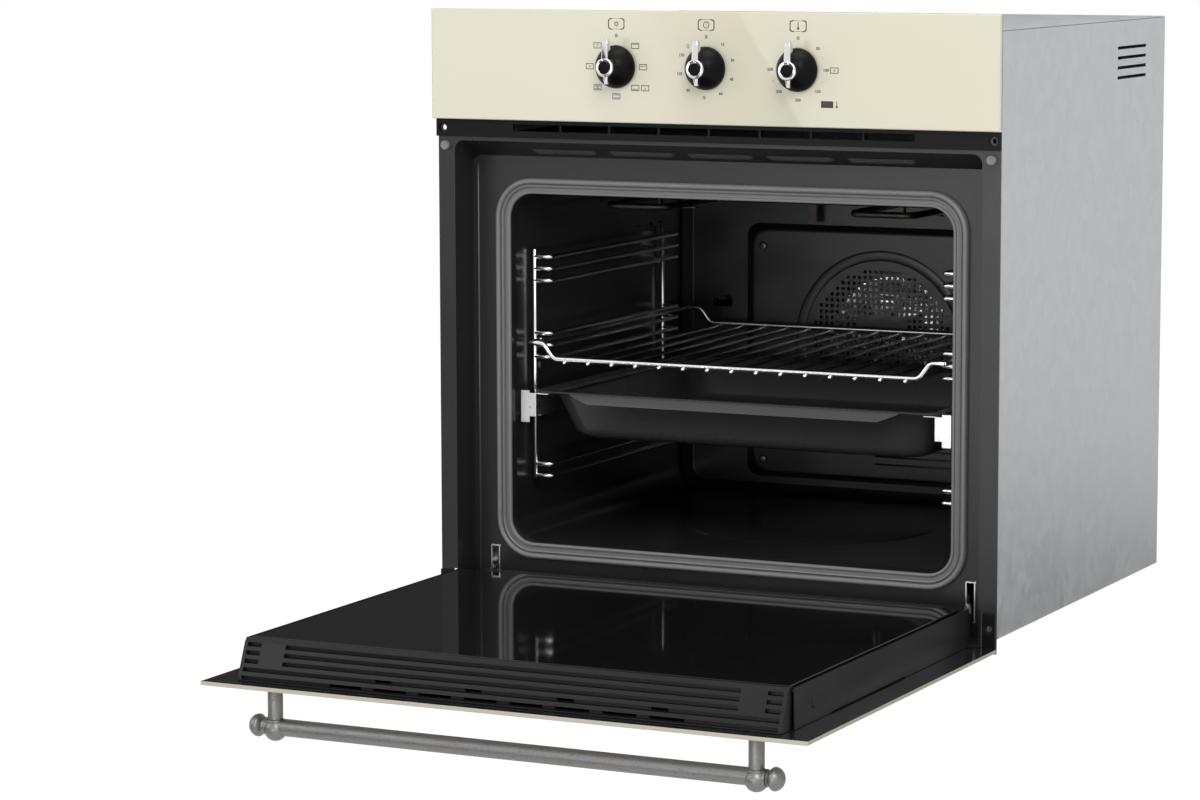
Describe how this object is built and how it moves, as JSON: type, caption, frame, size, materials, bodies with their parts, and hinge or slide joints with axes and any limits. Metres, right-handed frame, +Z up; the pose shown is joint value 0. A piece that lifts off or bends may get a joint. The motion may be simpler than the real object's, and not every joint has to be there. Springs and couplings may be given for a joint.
{
  "type": "built-in oven",
  "caption": "Built-in electric fan oven with a drop-down glass door, bar handle, three lever knobs, wire shelf and a deep pan on telescopic runners.",
  "frame": {"origin": "middle of the casing's underside, where it rests in its niche", "axes": "+X to the right seen from the front, +Y into the cabinet, +Z up; the door is open"},
  "size_m": [0.595, 1.0021, 0.6473],
  "materials": {
    "cream_glass": "cream enamel fired on the back of clear glass",
    "pilot_red": "dark red translucent",
    "black_plastic": "fine matt grain",
    "knob_black": "satin",
    "chrome": "polished",
    "galvanised": "galvanised sheet",
    "switch_beige": "moulded",
    "frame_enamel": "dark grey gloss enamel",
    "seal_grey": "soft silicone",
    "black_enamel": "black enamel with fine pale specks",
    "steel": "plain",
    "element_steel": "heat darkened",
    "clear_glass": "clear",
    "dark_glass": "dark mirror coat",
    "mineral_wool": "fibrous",
    "painted_black": "satin black",
    "pewter": "aged pewter",
    "aluminium": "cast"
  },
  "bodies": {
    "oven": {"control_panel": "cream_glass", "pilot_lens": "pilot_red", "panel_carrier": "black_plastic", "switch_rail": "galvanised", "switch_bodies": "switch_beige", "thermostat": "steel", "front_frame": "frame_enamel", "vent_trim": "black_plastic", "base_trim": "black_plastic", "door_bumpers": "seal_grey", "door_gasket": "seal_grey", "cavity": "black_enamel", "fan_cover": "black_enamel", "cavity_screws": "steel", "grill_element": "element_steel", "bottom_element": "element_steel", "ring_element": "element_steel", "lamp_holder": "switch_beige", "lamp_glass": "clear_glass", "lamp_bulb": "clear_glass", "side_racks": "chrome", "runners_fixed": "steel", "fan_motor": "steel", "cooling_duct": "galvanised", "cooling_motor": "steel", "insulation": "mineral_wool", "casing_sides": "galvanised", "casing_top": "galvanised", "casing_base": "galvanised", "casing_back": "galvanised", "terminal_block": "black_plastic", "terminal_cover": "black_plastic", "case_screws": "steel", "hinge_receivers": "steel", "hinge_arms": "steel"},
    "door": {"door_outer_glass": "cream_glass", "door_middle_glass": "clear_glass", "door_inner_glass": "dark_glass", "door_sides": "painted_black", "door_vent_profile": "painted_black", "door_bottom_profile": "painted_black", "glass_holders": "black_plastic", "hinge_cassettes": "steel", "hinge_springs": "steel", "handle_bar": "pewter", "handle_posts": "pewter", "handle_finials": "pewter", "handle_screws": "steel"},
    "selector": {"selector_knob": "knob_black", "selector_lever": "chrome"},
    "timer": {"timer_knob": "knob_black", "timer_lever": "chrome"},
    "thermostat_control": {"thermostat_knob": "knob_black", "thermostat_lever": "chrome"},
    "shelf": {"wire_shelf": "chrome"},
    "pan": {"deep_pan": "black_enamel", "runners_moving": "steel"},
    "fan": {"fan_impeller": "aluminium", "fan_shaft": "steel"},
    "cooling_fan": {"cooling_rotor": "aluminium"}
  },
  "joints": [
    {"name": "door_hinge", "type": "hinge", "parent": "oven", "child": "door", "pos_m": [0, -0.2563, 0.0147], "axis": [-1, 0, 0], "range_deg": [0, 90]},
    {"name": "selector_turn", "type": "hinge", "parent": "oven", "child": "selector", "pos_m": [-0.095, -0.293, 0.539], "axis": [0, 1, 0], "continuous": true},
    {"name": "timer_turn", "type": "hinge", "parent": "oven", "child": "timer", "pos_m": [0, -0.293, 0.539], "axis": [0, 1, 0], "range_deg": [-42, 295]},
    {"name": "thermostat_turn", "type": "hinge", "parent": "oven", "child": "thermostat_control", "pos_m": [0.095, -0.293, 0.539], "axis": [0, 1, 0], "range_deg": [0, 270]},
    {"name": "shelf_slide", "type": "slide", "parent": "oven", "child": "shelf", "axis": [0, 1, 0], "range_m": [-0.26, 0]},
    {"name": "pan_slide", "type": "slide", "parent": "oven", "child": "pan", "axis": [0, 1, 0], "range_m": [-0.3, 0]},
    {"name": "fan_spin", "type": "hinge", "parent": "oven", "child": "fan", "pos_m": [0, 0.2, 0.23], "axis": [0, 1, 0], "continuous": true},
    {"name": "cooling_spin", "type": "hinge", "parent": "oven", "child": "cooling_fan", "pos_m": [0, 0.12, 0.497], "axis": [1, 0, 0], "continuous": true}
  ]
}
